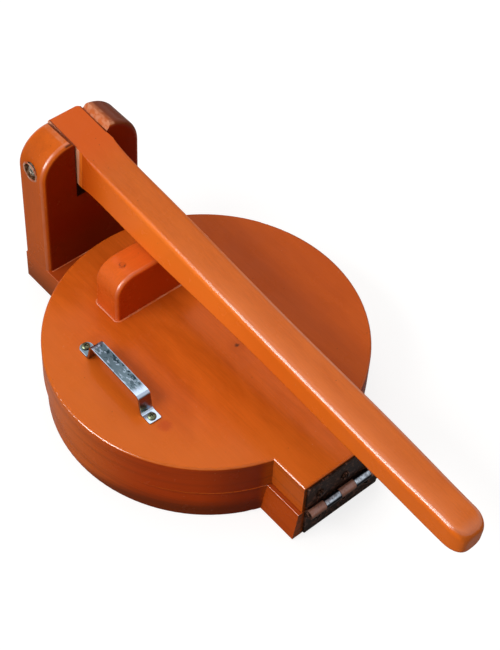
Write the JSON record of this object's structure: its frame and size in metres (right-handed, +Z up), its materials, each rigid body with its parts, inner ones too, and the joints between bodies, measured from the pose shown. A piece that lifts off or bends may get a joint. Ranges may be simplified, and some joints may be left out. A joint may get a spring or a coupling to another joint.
{
  "type": "tortilla press",
  "caption": "Round wooden tortilla press: hinged lid on a base board, a slotted post with a long pivoting lever that presses on a block, and a metal strap handle on the lid.",
  "frame": {"origin": "centre of the round base board, on the plane that the press stands on", "axes": "+X along the closed lever towards its handle end, with the post at -X and the hinge at +X; +Y to the right of someone who looks along +X; +Z up"},
  "size_m": [0.4676, 0.257, 0.1595],
  "materials": {
    "board_wood": "gloss varnish on orange-brown stained hardwood",
    "post_wood": "gloss varnish on red-brown stained hardwood",
    "lever_wood": "gloss varnish on orange stained hardwood",
    "zinc_strap": "bright zinc plate with blue-grey spots",
    "zinc_screws": "dull yellowish zinc plate",
    "dark_hinge": "dark oxidised steel, worn brown on the knuckles",
    "dark_screws": "dark oxidised steel",
    "bolt_steel": "plain steel, tarnished"
  },
  "bodies": {
    "base": {"base_board": "board_wood", "post_block": "post_wood", "post_screws": "zinc_screws", "pivot_bolt": "bolt_steel", "pivot_nut": "bolt_steel", "nut_washer": "bolt_steel", "head_washer": "bolt_steel", "lever_spacers": "bolt_steel", "hinge_leaf_base": "dark_hinge", "hinge_pin": "dark_hinge", "hinge_screws_base": "dark_screws"},
    "lid": {"lid_board": "board_wood", "pressure_block": "post_wood", "block_screws": "zinc_screws", "block_plugs": "post_wood", "strap_handle": "zinc_strap", "strap_screws": "zinc_screws", "hinge_leaf_lid": "dark_hinge", "hinge_screws_lid": "dark_screws"},
    "lever": {"lever_arm": "lever_wood"}
  },
  "joints": [
    {"name": "lid_hinge", "type": "hinge", "parent": "base", "child": "lid", "pos_m": [0.1595, 0.00225, 0.03025], "axis": [0, 1, 0], "range_deg": [0, 80]},
    {"name": "lever_pivot", "type": "hinge", "parent": "base", "child": "lever", "pos_m": [-0.1675, 0.004, 0.1345], "axis": [0, -1, 0], "range_deg": [0, 200]}
  ],
  "couplings": [
    {"joint": "lever_pivot", "follows": "lid_hinge", "ratio": 2.5}
  ]
}
